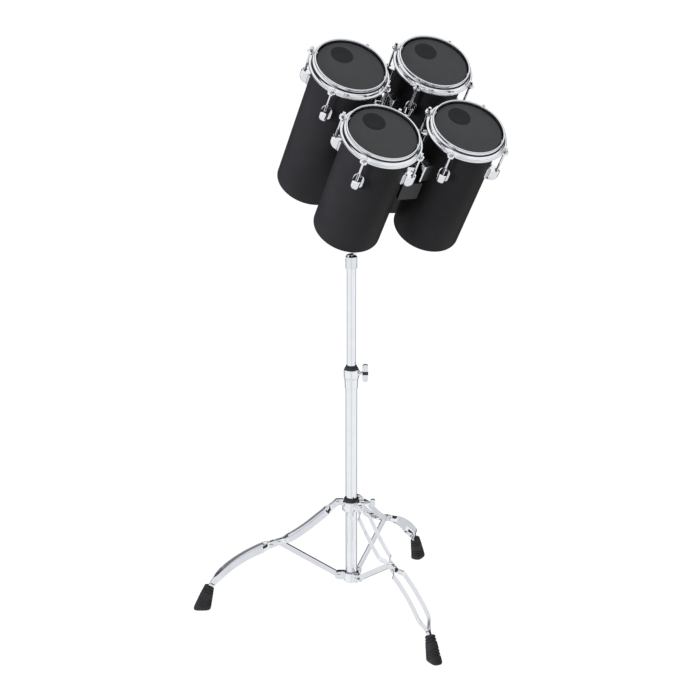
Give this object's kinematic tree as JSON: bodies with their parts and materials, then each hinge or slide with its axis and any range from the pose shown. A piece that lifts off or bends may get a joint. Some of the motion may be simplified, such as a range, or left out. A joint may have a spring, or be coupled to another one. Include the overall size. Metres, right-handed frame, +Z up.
{
  "type": "octoban set",
  "caption": "Cluster of tuned tube drums with triple-flanged chrome hoops on a telescoping, tilting stand with folding double-braced tripod legs.",
  "frame": {"origin": "on the floor, under the middle of the object's bounding box", "axes": "+Z up along the column; +Y away from the picture's camera; +X to the picture's right"},
  "size_m": [0.6806, 0.6224, 1.281],
  "materials": {
    "shell_black": "satin black fibreglass with a faint rolled texture",
    "head_grey": "satin dark grey film",
    "chrome": "mirror chrome plate",
    "frame_black": "black powder coat",
    "bush_black": "satin black nylon",
    "boot_rubber": "matt black rubber"
  },
  "bodies": {
    "base": {"base_tube": "chrome", "bottom_hub": "chrome", "height_clamp": "chrome", "height_bush": "bush_black"},
    "height_bolt": {"height_wing_bolt": "chrome"},
    "collar": {"leg_collar": "chrome", "collar_bush": "bush_black"},
    "collar_bolt": {"collar_wing_bolt": "chrome"},
    "left_leg": {"left_leg_strip_a": "chrome", "left_leg_strip_b": "chrome", "left_leg_boot": "boot_rubber"},
    "left_leg_brace": {"left_leg_brace": "chrome"},
    "right_back_leg": {"right_back_leg_strip_a": "chrome", "right_back_leg_strip_b": "chrome", "right_back_leg_boot": "boot_rubber"},
    "right_back_leg_brace": {"right_back_leg_brace": "chrome"},
    "right_front_leg": {"right_front_leg_strip_a": "chrome", "right_front_leg_strip_b": "chrome", "right_front_leg_boot": "boot_rubber"},
    "right_front_leg_brace": {"right_front_leg_brace": "chrome"},
    "column": {"upper_tube": "chrome"},
    "tilter": {"tilter_base": "chrome"},
    "tilter_bolt": {"tilter_wing_bolt": "chrome"},
    "frame": {"tilter_head": "chrome", "frame_stem": "frame_black", "front_bridge": "frame_black", "back_bridge": "frame_black"},
    "front_left_drum": {"front_left_clamp": "chrome", "front_left_head": "head_grey", "front_left_hoop": "chrome", "front_left_lug_1": "chrome", "front_left_lug_2": "chrome", "front_left_lug_3": "chrome", "front_left_lug_4": "chrome", "front_left_shell": "shell_black"},
    "front_right_drum": {"front_right_clamp": "chrome", "front_right_head": "head_grey", "front_right_hoop": "chrome", "front_right_lug_1": "chrome", "front_right_lug_2": "chrome", "front_right_lug_3": "chrome", "front_right_lug_4": "chrome", "front_right_shell": "shell_black"},
    "back_right_drum": {"back_right_clamp": "chrome", "back_right_head": "head_grey", "back_right_hoop": "chrome", "back_right_lug_1": "chrome", "back_right_lug_2": "chrome", "back_right_lug_3": "chrome", "back_right_lug_4": "chrome", "back_right_shell": "shell_black"},
    "back_left_drum": {"back_left_clamp": "chrome", "back_left_head": "head_grey", "back_left_hoop": "chrome", "back_left_lug_1": "chrome", "back_left_lug_2": "chrome", "back_left_lug_3": "chrome", "back_left_lug_4": "chrome", "back_left_shell": "shell_black"}
  },
  "joints": [
    {"name": "collar_slide", "type": "slide", "parent": "base", "child": "collar", "axis": [0, 0, 1], "range_m": [0, 0.13]},
    {"name": "left_leg_fold", "type": "hinge", "parent": "collar", "child": "left_leg", "pos_m": [-0.01537, -0.00554, 0.2553], "axis": [0.0262, -0.9997, 0], "range_deg": [-0.2, 38.96]},
    {"name": "left_leg_brace_fold", "type": "hinge", "parent": "base", "child": "left_leg_brace", "pos_m": [-0.01257, -0.00547, 0.0805], "axis": [-0.0262, 0.9997, 0], "range_deg": [-0.2, 41.96]},
    {"name": "right_back_leg_fold", "type": "hinge", "parent": "collar", "child": "right_back_leg", "pos_m": [0.03071, 0.02269, 0.2553], "axis": [-0.8788, 0.4772, 0], "range_deg": [-0.2, 38.96]},
    {"name": "right_back_leg_brace_fold", "type": "hinge", "parent": "base", "child": "right_back_leg_brace", "pos_m": [0.02937, 0.02023, 0.0805], "axis": [0.8788, -0.4772, 0], "range_deg": [-0.2, 41.96]},
    {"name": "right_front_leg_fold", "type": "hinge", "parent": "collar", "child": "right_front_leg", "pos_m": [0.03212, -0.03133, 0.2553], "axis": [0.8526, 0.5225, 0], "range_deg": [-0.2, 38.96]},
    {"name": "right_front_leg_brace_fold", "type": "hinge", "parent": "base", "child": "right_front_leg_brace", "pos_m": [0.03066, -0.02894, 0.0805], "axis": [-0.8526, -0.5225, 0], "range_deg": [-0.2, 41.96]},
    {"name": "column_height", "type": "slide", "parent": "base", "child": "column", "axis": [0, 0, 1], "range_m": [-0.21, 0.11]},
    {"name": "tilter_swivel", "type": "hinge", "parent": "column", "child": "tilter", "pos_m": [0.01582, -0.00473, 0.85], "axis": [0, 0, 1], "continuous": true},
    {"name": "tilter_tilt", "type": "hinge", "parent": "tilter", "child": "frame", "pos_m": [0.01582, -0.00473, 0.85], "axis": [0.8926, 0.4509, 0], "range_deg": [-35.8, 20]},
    {"name": "tilter_wing_turn", "type": "hinge", "parent": "tilter", "child": "tilter_bolt", "pos_m": [0.01582, -0.00473, 0.85], "axis": [0.8926, 0.4509, 0], "continuous": true},
    {"name": "height_wing_turn", "type": "hinge", "parent": "base", "child": "height_bolt", "pos_m": [0.01582, -0.00473, 0.5545], "axis": [0.9997, 0.0262, 0], "continuous": true},
    {"name": "collar_wing_turn", "type": "hinge", "parent": "collar", "child": "collar_bolt", "pos_m": [0.01582, -0.00473, 0.2525], "axis": [0.9997, 0.0262, 0], "continuous": true},
    {"name": "front_left_height", "type": "slide", "parent": "frame", "child": "front_left_drum", "axis": [0.2637, -0.5221, 0.8111], "range_m": [0, 0.02]},
    {"name": "front_right_height", "type": "slide", "parent": "frame", "child": "front_right_drum", "axis": [0.2637, -0.5221, 0.8111], "range_m": [0, 0.02]},
    {"name": "back_right_height", "type": "slide", "parent": "frame", "child": "back_right_drum", "axis": [0.2637, -0.5221, 0.8111], "range_m": [0, 0.02]},
    {"name": "back_left_height", "type": "slide", "parent": "frame", "child": "back_left_drum", "axis": [0.2637, -0.5221, 0.8111], "range_m": [0, 0.02]}
  ],
  "couplings": [
    {"joint": "left_leg_fold", "follows": "collar_slide", "rad_per_m": 5.1901},
    {"joint": "left_leg_brace_fold", "follows": "collar_slide", "rad_per_m": 5.593},
    {"joint": "right_back_leg_fold", "follows": "collar_slide", "rad_per_m": 5.1901},
    {"joint": "right_back_leg_brace_fold", "follows": "collar_slide", "rad_per_m": 5.593},
    {"joint": "right_front_leg_fold", "follows": "collar_slide", "rad_per_m": 5.1901},
    {"joint": "right_front_leg_brace_fold", "follows": "collar_slide", "rad_per_m": 5.593}
  ]
}
